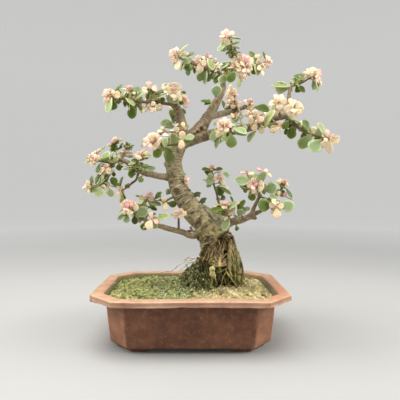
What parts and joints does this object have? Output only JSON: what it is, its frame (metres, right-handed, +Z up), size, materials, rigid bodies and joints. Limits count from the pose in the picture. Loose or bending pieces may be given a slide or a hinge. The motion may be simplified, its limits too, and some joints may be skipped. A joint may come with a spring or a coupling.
{
  "type": "bonsai tree in a pot",
  "caption": "Dwarf jade bonsai with a curved trunk, exposed roots and variegated fleshy leaves, growing in a shallow eight-sided unglazed clay pot on corner feet.",
  "frame": {"origin": "middle of the whole tree-and-pot bounding box at the level of the pot's feet", "axes": "+Z up, X along the pot's long side, the pictured front faces -Y, the long right limb points to +X"},
  "size_m": [0.2594, 0.142, 0.3298],
  "materials": {
    "clay": "unglazed fired brown clay, matt, slightly mottled",
    "screen": "dark plastic mesh",
    "soil": "granular dark soil mix",
    "moss": "low green moss, rough",
    "bark": "grey-tan living bark with fine rings",
    "leaf": "fleshy grey-green leaf with cream edge, waxy satin"
  },
  "bodies": {
    "root": {"pot": "clay", "drain_screen_left": "screen", "drain_screen_right": "screen", "soil": "soil", "moss": "moss", "trunk": "bark", "shoot_apex": "leaf", "branch_top_left": "leaf", "shoot_apex_front": "leaf", "branch_top_right": "leaf", "shoot_top_right": "leaf", "leaf_pair_limb": "leaf", "shoot_limb_left": "leaf", "bud_limb_left": "leaf", "shoot_crown_back": "leaf", "branch_crown_stub": "leaf", "shoot_pink_front": "leaf", "shoot_cream_mid": "leaf", "leaf_big_green": "leaf", "rosette_right_left": "leaf", "rosette_right_right": "leaf", "shoot_right_up": "leaf", "branch_right_droop": "leaf", "shoot_right_under": "leaf", "branch_upper_left": "leaf", "crown_upper_left": "leaf", "leaves_upper_left_limb": "leaf", "crown_fork_left": "leaf", "shoot_fork_centre": "leaf", "shoot_fork_top": "leaf", "shoot_mid_left_tip": "leaf", "shoot_mid_left_up": "leaf", "shoot_mid_left_up2": "leaf", "shoot_mid_left_inner": "leaf", "leaf_mid_left_under": "leaf", "leaf_mid_left_low": "leaf", "shoot_mid_left_hang": "leaf", "branch_mid_left_down": "leaf", "branch_mid_left_lower": "leaf", "shoot_low_left_ball": "leaf", "shoot_low_left_crown": "leaf", "shoot_low_left_front": "leaf", "shoot_trunk_left": "leaf", "leaf_trunk_left": "leaf", "shoot_low_left_upright": "leaf", "bud_trunk_base": "leaf", "bud_trunk_right_top": "leaf", "leaf_trunk_right_mid": "leaf", "leaf_trunk_right_low": "leaf", "shoot_centre": "leaf", "shoot_right_low_front": "leaf", "shoot_right_low_mid": "leaf", "leaf_right_low_under": "leaf", "branch_right_low_top": "leaf", "shoot_right_low_right": "leaf", "shoot_right_low_end": "leaf", "shoot_mid_small": "leaf"}
  },
  "joints": []
}
